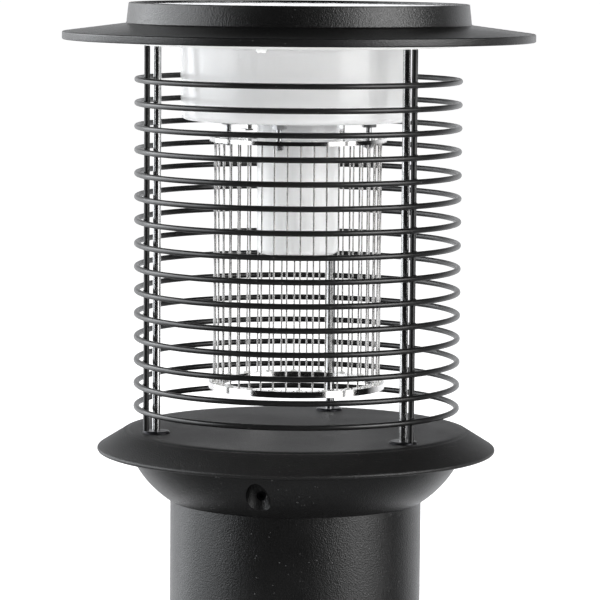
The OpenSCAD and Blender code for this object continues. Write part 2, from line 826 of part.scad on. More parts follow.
module lamp_holder() {
    slot = [uv_board_w, uv_board_t];
    z_low = z_diffuser - holder_spigot_h;
    color("#ececea") difference() {
        union() {
            rod(holder_flange_r, z_plate - holder_flange_t, z_plate);
            rod(holder_r, z_low, z_plate);
        }
        rod(holder_in_r, z_low + holder_floor_t, z_plate + hair);
        translate([0, 0, z_low - hair])
            block_at([0, 0], [slot[0], slot[1], holder_floor_t + 2 * hair], 0);
    }
}

module uv_tube() {
    end_t = tube_wall;
    end_round = 3;
    c = [tube_r - end_round, z_tube_low + end_round];
    color("#f4f6f8", 0.8) difference() {
        rotate_extrude() polygon(concat([[0, z_tube_low]], arc(c, end_round, -90, 0, arc_steps / 2),
            [[tube_r, z_diffuser], [0, z_diffuser]]));
        rotate_extrude() polygon(concat([[0, z_tube_low + end_t]],
            arc(c, end_round - end_t, -90, 0, corner_steps),
            [[tube_in_r, z_diffuser + hair], [0, z_diffuser + hair]]));
    }
}

module uv_board() {
    low = z_diffuser - uv_board_len;
    color("#eef0ee") block_at([0, 0], [uv_board_w, uv_board_t, z_uv_top - low], low);
}

module uv_leds() {
    low = z_diffuser - uv_board_len;
    span = uv_board_len - holder_spigot_h - 2 * uv_led_margin;
    color("#8f7bd0") for (i = [0:uv_led_rows - 1], side = [-1, 1])
        translate([-uv_led / 2, side > 0 ? uv_board_t / 2 : -uv_board_t / 2 - uv_led_t,
                   low + uv_led_margin + i * span / uv_led_rows])
            cube([uv_led, uv_led_t, uv_led]);
}

// ---- high-voltage grid ----

module grid_screw_places() {
    for (i = [0:grid_screw_count - 1])
        at_polar(grid_screw_at, grid_screw_angle + i * 360 / grid_screw_count, 0) children();
}

// Places of the live wires (live = true) or of the return wires between them
module wire_places(live) {
    for (i = [0:grid_wire_count / 2 - 1])
        at_polar(grid_r, return_angle + (2 * i + (live ? 1 : 0)) * wire_step, 0) children();
}

module grid_top_flange() {
    color("#e2e2e4") difference() {
        ring(flange_out_r, flange_in_r, z_flange, top_flange_t);
        wire_places(false) rod(bead_r, z_flange - hair, z_flange_top + hair);
        grid_screw_places() rod(grid_screw_r + socket_gap, z_flange - hair, z_flange_top + hair);
    }
}

module grid_bottom_ring() {
    color("#e2e2e4") difference() {
        ring(grid_out_r, grid_in_r, z_ring_low, bottom_ring_t);
        wire_places(true) rod(bead_r, z_ring_low - hair, z_ring_top + hair);
    }
}

module live_wires() {
    color("#d9d9dc") wire_places(true) rod(grid_wire_r, z_ring_low, z_flange);
}

module return_wires() {
    color("#c9c9cc") wire_places(false) rod(grid_wire_r, z_ring_top, z_flange_top + bead_lip_t);
}

module bead(z, h) {
    difference() {
        union() {
            rod(bead_r, z, z + h);
            rod(bead_lip_r, z + h, z + h + bead_lip_t);
        }
        rod(grid_wire_r + wire_gap, z - hair, z + h + bead_lip_t + hair);
    }
}

module grid_insulators() {
    color("#ffffff") {
        wire_places(false) bead(z_flange, top_flange_t);
        wire_places(true) bead(z_ring_low, bottom_ring_t);
    }
}

module grid_screws() {
    z_head = z_diffuser + diffuser_wall;
    color("#cfcfd2") grid_screw_places() {
        rod(grid_screw_r, z_flange - grid_nut_t - grid_screw_end, z_head);
        difference() {
            rod(grid_screw_head_r, z_head, z_head + grid_screw_head_t);
            translate([0, 0, z_head + grid_screw_head_t / 2]) hex_rod(grid_key_r, grid_screw_head_t);
        }
    }
}

// One nut clamps the screw to the diffuser's floor and one holds the flange up on it
module grid_nuts() {
    color("#d8d8da") grid_screw_places() {
        nut(clamp_nut_r, clamp_nut_t, z_diffuser - clamp_nut_t);
        nut(grid_nut_r, grid_nut_t, z_flange - grid_nut_t);
    }
}

module nut(r, t, z) {
    translate([0, 0, z]) difference() {
        hex_rod(r, t);
        translate([0, 0, -hair]) cylinder(r = grid_screw_r, h = t + 2 * hair);
    }
}

// Bent strips: a tab under the diffuser's floor, a leg, and a foot over the flange
module terminal(a, foot_z) {
    at_polar(terminal_at, a, 0) {
        translate([-terminal_foot / 2, -terminal_w / 2, z_diffuser - terminal_t])
            cube([terminal_foot, terminal_w, terminal_t]);
        translate([-terminal_t / 2, -terminal_w / 4, foot_z])
            cube([terminal_t, terminal_w / 2, z_diffuser - foot_z]);
        translate([0, -terminal_w / 2, foot_z]) cube([terminal_foot, terminal_w, terminal_t]);
    }
}

module grid_terminals() {
    color("#c9c9cb") {
        terminal(live_terminal_angle, z_flange_top);
        terminal(return_angle, z_flange_top + terminal_lift);
    }
}

// ---- power button ----

module button_place() {
    at_polar(button_at, button_angle, 0) children();
}

module button_housing() {
    z_low = z_plate - bezel_t;
    bore = button_r + button_gap;
    room = button_r + button_flange_w + button_gap;
    color("#3a3a3c") button_place() difference() {
        union() {
            rod(bezel_r, z_low, z_plate);
            rod(housing_r, z_plate - hair, z_plate + housing_h);
        }
        rod(bore, z_low - hair, z_plate + housing_h - housing_wall);
        rod(room, z_plate, z_plate + housing_h - housing_wall);
    }
}

module power_button() {
    z_low = z_plate - bezel_t - button_proud;
    color("#202022") button_place() {
        translate([0, 0, z_low]) cylinder(r1 = button_r - button_edge, r2 = button_r, h = button_edge);
        rod(button_r, z_low + button_edge, z_plate + button_flange_t + button_hub);
        rod(button_r + button_flange_w, z_plate, z_plate + button_flange_t);
    }
}

// Rings of points along a helix, joined into one closed tube
module button_spring() {
    z0 = z_plate + button_flange_t + button_hub + spring_wire_r;
    z1 = z_plate + housing_h - housing_wall - spring_wire_r;
    count = spring_turns * spring_steps;
    points = [for (i = [0:count], j = [0:spring_sides - 1])
        let (t = i * 360 / spring_steps, s = j * 360 / spring_sides,
             r = spring_r + spring_wire_r * cos(s))
        [r * cos(t), r * sin(t), z0 + (z1 - z0) * i / count + spring_wire_r * sin(s)]];
    walls = [for (i = [0:count - 1], j = [0:spring_sides - 1])
        let (a = i * spring_sides + j, b = i * spring_sides + (j + 1) % spring_sides)
        [a, a + spring_sides, b + spring_sides, b]];
    first = [for (j = [0:spring_sides - 1]) j];
    last = [for (j = [spring_sides - 1:-1:0]) count * spring_sides + j];
    color("#bfc3c8") button_place() polyhedron(points, concat(walls, [first, last]));
}

ground_flange();
post_tube();
flange_screws();
head_collar();
collar_screws();
base_dish();
tie_rods();
rod_foot_discs();
cap_shell();
underside_plate();
plate_screws();
solar_glass();
solar_cells();
solar_backing();
panel_gasket();
battery_tray();
battery_pack();
control_board();
hv_transformer();
hv_capacitor();
internal_leads();
light_board();
light_leds();
diffuser();
diffuser_screws();
lamp_holder();
uv_tube();
uv_board();
uv_leds();
grid_top_flange();
grid_bottom_ring();
live_wires();
return_wires();
grid_insulators();
grid_screws();
grid_nuts();
grid_terminals();
button_housing();
button_spring();
power_button();
for (i = [1:len(rod_turns)]) guard_rod(i);
for (i = [1:ring_count]) guard_ring(i);
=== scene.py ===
import math

import bmesh
import bpy
from mathutils import Matrix, Vector


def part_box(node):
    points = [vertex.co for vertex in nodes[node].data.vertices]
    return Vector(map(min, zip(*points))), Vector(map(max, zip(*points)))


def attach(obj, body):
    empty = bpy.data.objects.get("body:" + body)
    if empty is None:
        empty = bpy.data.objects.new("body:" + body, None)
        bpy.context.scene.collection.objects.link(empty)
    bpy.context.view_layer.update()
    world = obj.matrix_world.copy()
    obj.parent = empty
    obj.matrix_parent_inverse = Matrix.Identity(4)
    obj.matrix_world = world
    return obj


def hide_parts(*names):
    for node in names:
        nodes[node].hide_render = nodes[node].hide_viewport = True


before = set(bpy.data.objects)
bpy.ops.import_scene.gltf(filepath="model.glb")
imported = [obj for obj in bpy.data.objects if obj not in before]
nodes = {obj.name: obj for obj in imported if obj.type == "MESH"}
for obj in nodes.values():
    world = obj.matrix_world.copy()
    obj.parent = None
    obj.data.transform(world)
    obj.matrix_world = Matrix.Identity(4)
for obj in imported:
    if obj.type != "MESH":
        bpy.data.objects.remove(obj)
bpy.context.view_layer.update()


# Ground flange: a cast aluminium ring that is bolted to the paving and carries the post.
# It has the same black powder coat as the post, baked on, with a fine texture like orange peel.
# The coat is made here once, as a grain with painted glints, that every coated piece uses at its own
# strength.
def new_group(name, inputs, outputs):
    """An empty shader node group. Inputs are (name, kind, value), and outputs are (name, kind)."""
    group = bpy.data.node_groups.new(name, "ShaderNodeTree")
    for label, kind, value in inputs:
        socket = group.interface.new_socket(label, in_out="INPUT", socket_type="NodeSocket" + kind)
        socket.default_value = value
    for label, kind in outputs:
        group.interface.new_socket(label, in_out="OUTPUT", socket_type="NodeSocket" + kind)
    return group, group.nodes.new("NodeGroupInput"), group.nodes.new("NodeGroupOutput")


def join(tree, source, target):
    tree.links.new(source, target)


def ramp_range(tree, source, low, high, to_low, to_high):
    """Maps source from low..high to to_low..to_high, and returns the result's socket."""
    node = tree.nodes.new("ShaderNodeMapRange")
    node.inputs["From Min"].default_value = low
    node.inputs["From Max"].default_value = high
    node.inputs["To Min"].default_value = to_low
    node.inputs["To Max"].default_value = to_high
    join(tree, source, node.inputs["Value"])
    return node.outputs["Result"]


def noise(tree, where, scale, detail=3.0, rough=0.5):
    node = tree.nodes.new("ShaderNodeTexNoise")
    node.inputs["Scale"].default_value = scale
    node.inputs["Detail"].default_value = detail
    node.inputs["Roughness"].default_value = rough
    join(tree, where, node.inputs["Vector"])
    return node.outputs["Fac"]


def arithmetic(tree, kind, a, b):
    """a kind b, where each is a socket or a number."""
    node = tree.nodes.new("ShaderNodeMath")
    node.operation = kind
    for value, socket in ((a, node.inputs[0]), (b, node.inputs[1])):
        if isinstance(value, (int, float)):
            socket.default_value = value
        else:
            join(tree, value, socket)
    return node.outputs[0]


def mix_colour(tree, factor, a, b):
    """Colour a where factor is 0 and b where it is 1. Each is a socket or a colour."""
    node = tree.nodes.new("ShaderNodeMix")
    node.data_type = "RGBA"
    for value, socket in ((factor, node.inputs["Factor"]), (a, node.inputs["A"]), (b, node.inputs["B"])):
        if isinstance(value, tuple):
            socket.default_value = (*value, 1.0)
        elif isinstance(value, float):
            socket.default_value = value
        else:
            join(tree, value, socket)
    return node.outputs["Result"]


def object_place(tree, stretch=(1.0, 1.0, 1.0)):
    """The place on the object, in metres, stretched along its axes."""
    place = tree.nodes.new("ShaderNodeTexCoord").outputs["Object"]
    if stretch == (1.0, 1.0, 1.0):
        return place
    scale = tree.nodes.new("ShaderNodeMapping")
    scale.inputs["Scale"].default_value = stretch
    join(tree, place, scale.inputs["Vector"])
    return scale.outputs["Vector"]


def make_coat_grain():
    """Baked powder: pebbles about half a millimetre wide, and a few flecks among them as a mask for painted
    glints.
    """
    group, ins, outs = new_group(
        "coat_grain_and_glints",
        [("Glint Share", "Float", 0.03)],
        [("Height", "Float"), ("Painted Glint", "Float"), ("Cloud", "Float")])
    place = object_place(group)
    pebble = noise(group, place, 1500.0, 1.0, 0.5)
    wave = noise(group, place, 700.0, 1.0)
    height = arithmetic(group, "ADD", pebble, arithmetic(group, "MULTIPLY", wave, 0.35))
    cells = group.nodes.new("ShaderNodeTexVoronoi")
    cells.inputs["Scale"].default_value = 1500.0
    join(group, place, cells.inputs["Vector"])
    pick = group.nodes.new("ShaderNodeSeparateColor")
    join(group, cells.outputs["Color"], pick.inputs["Color"])
    # Painted glints: a few cells are picked as flecks, which the coat paints lighter where it would sparkle.
    chosen = arithmetic(group, "LESS_THAN", pick.outputs["Red"], ins.outputs["Glint Share"])
    small = arithmetic(group, "LESS_THAN", cells.outputs["Distance"], 0.4)
    painted_glint = arithmetic(group, "MULTIPLY", chosen, small)
    cloud = noise(group, place, 22.0, 4.0)
    join(group, height, outs.inputs["Height"])
    join(group, painted_glint, outs.inputs["Painted Glint"])
    join(group, cloud, outs.inputs["Cloud"])
    return group


coat_grain_and_glints = make_coat_grain()


def new_material(name, **settings):
    """A material with one Principled shader. Settings go straight on its sockets."""
    material = bpy.data.materials.new(name)
    material.use_nodes = True
    shader = material.node_tree.nodes["Principled BSDF"]
    for label, value in settings.items():
        shader.inputs[label.replace("_", " ").title().replace("Ior", "IOR")].default_value = value
    return material, material.node_tree, shader


def add_bump(tree, shader, height, strength, depth):
    """Raises the surface by height, where 1 stands for depth metres."""
    bump = tree.nodes.new("ShaderNodeBump")
    bump.inputs["Strength"].default_value = strength
    bump.inputs["Distance"].default_value = depth
    join(tree, height, bump.inputs["Height"])
    join(tree, bump.outputs["Normal"], shader.inputs["Normal"])


def powder_coat(name, dark, light, glint_colour, glint_share, rough, relief):
    """Powder coat from dark to light in soft clouds, with flecks painted lighter as glints and made smoother.
    """
    material, tree, shader = new_material(name, specular_ior_level=0.5)
    grain = tree.nodes.new("ShaderNodeGroup")
    grain.node_tree = coat_grain_and_glints
    grain.inputs["Glint Share"].default_value = glint_share
    cloud = ramp_range(tree, grain.outputs["Cloud"], 0.3, 0.7, 0.0, 1.0)
    base = mix_colour(tree, cloud, dark, light)
    # Painted glint: each fleck takes the lighter glint colour; its lower roughness below is a real smoother
    # finish.
    join(tree, mix_colour(tree, grain.outputs["Painted Glint"], base, glint_colour), shader.inputs["Base Color"])
    dull = ramp_range(tree, grain.outputs["Cloud"], 0.3, 0.7, rough - 0.03, rough + 0.04)
    shine = arithmetic(tree, "MULTIPLY", grain.outputs["Painted Glint"], 0.2)
    join(tree, arithmetic(tree, "SUBTRACT", dull, shine), shader.inputs["Roughness"])
    add_bump(tree, shader, grain.outputs["Height"], 0.35, relief)
    return material


# The third colour is the painted glint colour of the flecks.
black_coat = powder_coat("black_powder_coat", (0.003, 0.003, 0.003), (0.0055, 0.0055, 0.0055),
                         (0.09, 0.09, 0.09), 0.009, 0.34, 0.0006)


def dress(node, material):
    """Gives a CAD piece its material."""
    for place in nodes[node].material_slots:
        place.material = material


dress("ground_flange", black_coat)


# Post tube: extruded aluminium, 134 mm across, powder coated like the flange it slips over.
# It is cut square and pinned to the flange's spigot by three button-head screws.
dress("post_tube", black_coat)


# Screws: the post's pins and the screws of diffuser and grid are bright zinc, and the collar's
# Each is turned from rod, and its finish has a fine noise bump for the turning marks.
def screw_metal(name, colour, rough):
    material, tree, shader = new_material(name, metallic=1.0)
    place = object_place(tree)
    turned_marks = noise(tree, place, 2600.0, 2.0)
    stain = noise(tree, place, 160.0, 3.0)
    darker = tuple(c * 0.72 for c in colour)
    join(tree, mix_colour(tree, ramp_range(tree, stain, 0.35, 0.7, 0.0, 1.0), colour, darker),
         shader.inputs["Base Color"])
    join(tree, ramp_range(tree, stain, 0.3, 0.7, rough, rough + 0.12), shader.inputs["Roughness"])
    add_bump(tree, shader, turned_marks, 0.2, 0.00003)
    return material


bright_zinc = screw_metal("bright_zinc", (0.62, 0.62, 0.63), 0.24)
black_oxide = screw_metal("black_oxide", (0.06, 0.06, 0.065), 0.3)
for node in ("flange_screws", "diffuser_screws", "grid_screws"):
    dress(node, bright_zinc)
dress("collar_screws", black_oxide)


# Collar: a cast aluminium bowl that slips over the post's end and is held by three set screws.
# The screws sit in deep round pockets, whose mouths are eased before the coat goes on.
def rounded_outline(corners, steps=5):
    """Points (radius, height) of an outline whose corners are (radius, height, rounding)."""
    points = []
    count = len(corners)
    for i, (r, z, rounding) in enumerate(corners):
        here = Vector((r, z))
        if rounding == 0 or r == 0:
            points.append(here)
            continue
        before = Vector(corners[i - 1][:2]) - here
        after = Vector(corners[(i + 1) % count][:2]) - here
        half = before.angle(after) / 2
        cut = min(rounding / math.tan(half), before.length * 0.49, after.length * 0.49)
        start = here + before.normalized() * cut
        end = here + after.normalized() * cut
        for k in range(steps + 1):
            t = k / steps
            points.append(start * (1 - t) ** 2 + here * 2 * t * (1 - t) + end * t ** 2)
    return points


def turned_piece(name, outline, closed, sides=192):
    """A solid turned about Z. A closed outline makes a ring, an open one runs from axis to axis."""
    shape = bmesh.new()
    loops = []
    for r, z in outline:
        if r < 1e-7:
            loops.append([shape.verts.new((0, 0, z))])
            continue
        turns = [2 * math.pi * k / sides for k in range(sides)]
        loops.append([shape.verts.new((r * math.cos(a), r * math.sin(a), z)) for a in turns])
    pairs = list(zip(loops, loops[1:])) + ([(loops[-1], loops[0])] if closed else [])
    for low, high in pairs:
        for k in range(sides):
            n = (k + 1) % sides
            corner = [low[k % len(low)], low[n % len(low)], high[n % len(high)], high[k % len(high)]]
            shape.faces.new(list(dict.fromkeys(corner)))
    bmesh.ops.recalc_face_normals(shape, faces=shape.faces)
    return finish_mesh(name, shape)


def finish_mesh(name, shape, sharp_angle=32.0):
    """Turns a bmesh into an object that is smooth except over edges sharper than sharp_angle."""
    mesh = bpy.data.meshes.new(name)
    shape.to_mesh(mesh)
    shape.free()
    mesh.shade_smooth()
    mesh.set_sharp_from_angle(angle=math.radians(sharp_angle))
    piece = bpy.data.objects.new(name, mesh)
    bpy.context.scene.collection.objects.link(piece)
    return piece


def apply_modifiers(piece, sharp_angle=32.0):
    """Makes the piece's mesh what its modifiers show."""
    bpy.context.view_layer.update()
    seen = piece.evaluated_get(bpy.context.evaluated_depsgraph_get())
    mesh = bpy.data.meshes.new_from_object(seen)
    piece.modifiers.clear()
    piece.data = mesh
    mesh.shade_smooth()
    mesh.set_sharp_from_angle(angle=math.radians(sharp_angle))


def place_piece(piece, body, material, record_slot, *stands_for):
    """Gives a new piece its material and its body, and hides the CAD nodes it stands for. record_slot is not
    used.
    """
    piece.data.materials.clear()
    piece.data.materials.append(material)
    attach(piece, body)
    if stands_for:
        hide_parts(*stands_for)
    return piece


def blend_pieces(target, kind, others):
    """Cuts, joins or crosses the target with the others, which are used up."""
    for other in others:
        step = target.modifiers.new("step", "BOOLEAN")
        step.operation = kind
        step.solver = "EXACT"
        step.object = other
    apply_modifiers(target)
    for other in others:
        bpy.data.objects.remove(other)


def upright_bar(name, radius, low, high, reach, turns, sides=64):
    """Bars that stand at a distance from the axis, one in each direction."""
    shape = bmesh.new()
    for turn in turns:
        place = Matrix.Rotation(turn, 4, "Z") @ Matrix.Translation((reach, 0, (low + high) / 2))
        bmesh.ops.create_cone(shape, cap_ends=True, segments=sides, radius1=radius, radius2=radius,
                              depth=high - low, matrix=place)
    return finish_mesh(name, shape)


def level_bar(name, radius, start, end, height, turns, sides=48):
    """Bars that point outwards at a height, one in each direction."""
    shape = bmesh.new()
    lean = Matrix.Rotation(math.pi / 2, 4, "Y")
    for turn in turns:
        place = Matrix.Rotation(turn, 4, "Z") @ Matrix.Translation(((start + end) / 2, 0, height)) @ lean
        bmesh.ops.create_cone(shape, cap_ends=True, segments=sides, radius1=radius, radius2=radius,
                              depth=end - start, matrix=place)
    return finish_mesh(name, shape)


def arc_points(start, end, radius, steps):
    """Points of an arc between two places, which bows away from the axis."""
    start, end = Vector(start), Vector(end)
    half = (end - start).length / 2
    across = Vector((-(end - start).y, (end - start).x)).normalized()
    centre = (start + end) / 2 + across * math.sqrt(radius ** 2 - half ** 2)
    first = math.atan2(*(start - centre).yx)
    last = math.atan2(*(end - centre).yx)
    turns = [first + (last - first) * k / steps for k in range(steps + 1)]
    return [centre + radius * Vector((math.cos(a), math.sin(a))) for a in turns]


collar_low, collar_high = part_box("head_collar")
dish_low, dish_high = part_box("base_dish")
post_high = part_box("post_tube")[1]
post_fit = 0.0003
wall = 0.003
bore_r = post_high.x + post_fit
neck_r = bore_r + wall
foot_r = bore_r + 0.0008
ledge_r = bore_r - 0.007
seat_z = post_high.z
bowl_r = collar_high.x
bowl_top = collar_high.z - 0.0001
rim_z = dish_low.z - 0.0027
bulge_r = 0.0552
arc_steps = 36
side = arc_points((foot_r, collar_low.z), (bowl_r, rim_z), bulge_r, arc_steps)
inner_foot = (foot_r - 0.0014, collar_low.z + 0.0027)
inner_side = arc_points(inner_foot, (bowl_r - wall, rim_z), bulge_r - wall, arc_steps)
inner_side = [p for p in reversed(inner_side) if p.x > neck_r]
bowl = turned_piece("collar_bowl", side
                    + [Vector((bowl_r, bowl_top)), Vector((bowl_r - wall, bowl_top))] + inner_side
                    + [Vector((neck_r, inner_side[-1].y)), Vector((neck_r, seat_z + wall)),
                       Vector((ledge_r, seat_z + wall)), Vector((ledge_r, seat_z)),
                       Vector((bore_r, seat_z)), Vector((bore_r, collar_low.z))], True)

pocket_r = 0.0064
pocket_at = neck_r + 0.0035 + pocket_r
pocket_wall = 0.002
pocket_top = rim_z - pocket_wall
screw_z = collar_low.z + 0.012
screw_r = 0.0025
rod_r = 0.0021
rod_boss_r = 0.005
rod_hole_depth = 0.009
rod_gap = 0.0019
rod_turns = [math.radians(a) for a in (-43.7, 76.3, 196.3)]
pocket_turns = [turn + math.pi / 3 for turn in rod_turns]
rod_low, rod_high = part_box("guard_rod_1")
rod_middle = (rod_low + rod_high) / 2
guard_rod_at = Vector((rod_middle.x, rod_middle.y)).length
tie_at = guard_rod_at - (rod_high.x - rod_low.x) / 2 - rod_r - rod_gap

past = 0.001
clear = 0.01
boss_foot = collar_low.z - past
bosses = upright_bar("pocket_bosses", pocket_r + pocket_wall, boss_foot, rim_z, pocket_at, pocket_turns)
blend_pieces(bosses, "UNION", [
    level_bar("screw_bosses", screw_r + pocket_wall, neck_r - past, pocket_at, screw_z, pocket_turns),
    upright_bar("rod_bosses", rod_boss_r, boss_foot, bowl_top + past, tie_at, rod_turns)])
inset = 0.0004
core = turned_piece("collar_core", [p - Vector((inset, 0)) for p in side]
                    + [Vector((bowl_r - inset, bowl_top)), Vector((neck_r - inset, bowl_top)),
                       Vector((neck_r - inset, collar_low.z))], True)
blend_pieces(bosses, "INTERSECT", [core])
blend_pieces(bowl, "UNION", [bosses])
blend_pieces(bowl, "DIFFERENCE", [
    upright_bar("pocket_cutters", pocket_r, collar_low.z - clear, pocket_top, pocket_at, pocket_turns),
    level_bar("screw_cutters", screw_r, bore_r - 2 * past, pocket_at, screw_z, pocket_turns),
    upright_bar("rod_cutters", rod_r, bowl_top - rod_hole_depth, bowl_top + clear, tie_at, rod_turns)])
eased_angle = 35.0
ease = bowl.modifiers.new("eased_edges", "BEVEL")
ease.width = 0.0004
ease.segments = 3
ease.limit_method = "ANGLE"
ease.angle_limit = math.radians(eased_angle)
apply_modifiers(bowl, eased_angle)
place_piece(bowl, "head", black_coat, "black_powder_coat", "head_collar")


# Base dish: a spun aluminium plate with a bevelled brim that catches what falls from the grid.
# It is clamped on the collar by the tie rods and has a rolled edge; its coat has painted glints like the
# rest.
dish_flat_r = 0.0904
dish_wall = 0.003
dish_edge = 0.0012
dish_sides = 256
lip_w = 0.0046
hole_gap = 0.00005
flat_z = dish_high.z
dish_r = dish_high.x
slope = math.atan2(flat_z - dish_low.z - 2 * dish_edge, dish_r - dish_flat_r)
edge_centre = Vector((dish_r - dish_edge, dish_low.z + dish_edge))
edge_steps = 12
edge_turns = [math.pi / 2 - slope - (math.pi - slope) * k / edge_steps for k in range(edge_steps + 1)]
edge_roll = [edge_centre + dish_edge * Vector((math.cos(a), math.sin(a))) for a in edge_turns]
under_r = dish_flat_r - dish_wall * math.tan(slope / 2)
under_z = flat_z - dish_wall
lip_r = dish_r - lip_w
lip_z = under_z - (lip_r - under_r) * math.tan(slope)
break_w = 0.0014
break_start = (dish_flat_r - 0.0016, flat_z)
break_end = (dish_flat_r + break_w, flat_z - break_w * math.tan(slope))
break_in = arc_points(break_start, break_end, 0.006, 8)
dish = turned_piece(
    "dish_plate",
    [Vector((0, flat_z)), Vector((dish_flat_r - 0.006, flat_z))] + break_in + edge_roll
    + [Vector((lip_r, dish_low.z)), Vector((lip_r, lip_z)), Vector((under_r, under_z)), Vector((0, under_z))],
    False, dish_sides)
blend_pieces(dish, "DIFFERENCE", [
    upright_bar("dish_holes", rod_r + hole_gap, flat_z - clear, flat_z + clear, tie_at, rod_turns, 32)])
# The third colour is the painted glint colour of the flecks.
dish_coat = powder_coat("dish_powder_coat", (0.0045, 0.0043, 0.0042), (0.0075, 0.0072, 0.007),
                        (0.09, 0.09, 0.09), 0.009, 0.5, 0.0006)
place_piece(dish, "head", dish_coat, "black_powder_coat", "base_dish")


# Tie rods: three chromed steel rods that pull the cap and the collar together.
# They are drawn and buffed lengthwise, so their shine breaks up in faint streaks along them.
def make_chrome():
    material, tree, shader = new_material("buffed_chrome", metallic=1.0, specular_ior_level=0.5)
    streaks = noise(tree, object_place(tree, (1.0, 1.0, 0.02)), 900.0, 3.0)
    specks = noise(tree, object_place(tree), 620.0, 2.0)
    shade = ramp_range(tree, streaks, 0.35, 0.65, 0.0, 1.0)
    tone = mix_colour(tree, shade, (0.5, 0.5, 0.5), (0.66, 0.66, 0.66))
    pit = ramp_range(tree, specks, 0.52, 0.66, 0.0, 0.45)
    join(tree, mix_colour(tree, pit, tone, (0.24, 0.24, 0.24)), shader.inputs["Base Color"])
    join(tree, ramp_range(tree, streaks, 0.3, 0.7, 0.16, 0.24), shader.inputs["Roughness"])
    add_bump(tree, shader, specks, 0.02, 0.00001)
    return material


chrome = make_chrome()
dress("tie_rods", chrome)


# Foot discs: thin pressed washers that cover the holes in the dish round each pair of rods.
# They are blackened spring steel, still shiny with oil.
dress("rod_foot_discs", black_oxide)


# Underside plate: a white plastic disc that closes the cap from below and carries the lamps.
# It is injection moulded with a fine satin texture. Its screws have white heads, to match it.
def satin_plastic(name, colour, shade, rough, grain_scale, relief, **settings):
    """Moulded plastic with an even, fine texture and slow changes of tone."""
    material, tree, shader = new_material(name, **settings)
    place = object_place(tree)
    tone = ramp_range(tree, noise(tree, place, 30.0, 3.0), 0.35, 0.65, 0.0, 1.0)
    join(tree, mix_colour(tree, tone, colour, shade), shader.inputs["Base Color"])
    grain = noise(tree, place, grain_scale, 2.0, 0.6)
    join(tree, ramp_range(tree, grain, 0.3, 0.7, rough - 0.04, rough + 0.05), shader.inputs["Roughness"])
    add_bump(tree, shader, grain, 0.15, relief)
    return material


white_satin = satin_plastic("white_satin_plastic", (0.86, 0.86, 0.85), (0.82, 0.82, 0.81),
                            0.4, 1800.0, 0.00005)
dress("underside_plate", white_satin)
dress("plate_screws", white_satin)


# Lamp holder and lamp tube: the holder is a white moulding that hangs through the diffuser, and
# the milky tube over it spreads the light of the UV LEDs on the board inside.
def opal(name, colour, rough, scatter, relief):
    """Milky plastic or glass: light enters it and spreads, and its face is glossy."""
    material, tree, shader = new_material(name, subsurface_weight=1.0, subsurface_scale=scatter,
                                          coat_roughness=0.05, ior=1.49)
    shader.inputs["Subsurface Radius"].default_value = (1.0, 1.0, 1.0)
    place = object_place(tree)
    haze = noise(tree, place, 45.0, 3.0)
    cool = tuple(c * f for c, f in zip(colour, (0.97, 0.985, 1.0)))
    join(tree, mix_colour(tree, ramp_range(tree, haze, 0.35, 0.65, 0.0, 1.0), colour, cool),
         shader.inputs["Base Color"])
    join(tree, ramp_range(tree, haze, 0.3, 0.7, rough - 0.02, rough + 0.03), shader.inputs["Roughness"])
    join(tree, ramp_range(tree, haze, 0.3, 0.7, 0.2, 0.3), shader.inputs["Coat Weight"])
    add_bump(tree, shader, noise(tree, place, 120.0, 2.0), 0.1, relief)
    return material


tube_opal = opal("lamp_tube_opal", (0.97, 0.97, 0.97), 0.1, 0.004, 0.0001)
dress("uv_tube", tube_opal)
dress("lamp_holder", white_satin)


# LED boards: a strip of UV LEDs stands in the tube, and a ring of warm LEDs lights the diffuser.
# Both are glass-fibre boards under white solder mask, with tinned pads and thin copper tracks.
def circuit_board(name, mask, track_tone, scale):
    material, tree, shader = new_material(name, coat_roughness=0.12)
    place = object_place(tree)
    tracks = tree.nodes.new("ShaderNodeTexBrick")
    tracks.inputs["Scale"].default_value = scale
    tracks.inputs["Mortar Size"].default_value = 0.035
    tracks.inputs["Color1"].default_value = (*mask, 1)
    tracks.inputs["Color2"].default_value = (*(c * 0.93 for c in mask), 1)
    tracks.inputs["Mortar"].default_value = (*track_tone, 1)
    join(tree, place, tracks.inputs["Vector"])
    join(tree, tracks.outputs["Color"], shader.inputs["Base Color"])
    weave = noise(tree, place, 1400.0, 2.0)
    join(tree, ramp_range(tree, weave, 0.3, 0.7, 0.28, 0.42), shader.inputs["Roughness"])
    join(tree, ramp_range(tree, weave, 0.3, 0.7, 0.3, 0.5), shader.inputs["Coat Weight"])
    add_bump(tree, shader, tracks.outputs["Fac"], 0.2, 0.00004)
    return material


white_board = circuit_board("white_solder_mask", (0.82, 0.82, 0.8), (0.7, 0.7, 0.66), 120.0)
green_board = circuit_board("green_solder_mask", (0.03, 0.17, 0.07), (0.08, 0.3, 0.12), 150.0)
dress("uv_board", white_board)
dress("light_board", white_board)
dress("control_board", green_board)


def led_gel(name, colour, core):
    """Clear gel over a chip, mixed from its colour and a deeper core colour in small noise spots."""
    material, tree, shader = new_material(name, coat_roughness=0.05)
    spots = noise(tree, object_place(tree), 700.0, 2.0)
    join(tree, mix_colour(tree, ramp_range(tree, spots, 0.4, 0.6, 0.0, 1.0), colour, core),
         shader.inputs["Base Color"])
    join(tree, ramp_range(tree, spots, 0.3, 0.7, 0.1, 0.2), shader.inputs["Roughness"])
    join(tree, ramp_range(tree, spots, 0.3, 0.7, 0.5, 0.9), shader.inputs["Coat Weight"])
    add_bump(tree, shader, spots, 0.1, 0.00003)
    return material


dress("uv_leds", led_gel("violet_gel", (0.4, 0.32, 0.72), (0.2, 0.12, 0.55)))
dress("light_leds", led_gel("yellow_gel", (0.85, 0.7, 0.2), (0.9, 0.55, 0.08)))


# Diffuser: a deep opal cup of acrylic that spreads the lantern's light and carries the grid.
# It is moulded in one piece, glossy all over, and held to the plate by three screws from above.
diffuser_opal = opal("diffuser_opal", (0.93, 0.935, 0.94), 0.16, 0.008, 0.0002)
dress("diffuser", diffuser_opal)


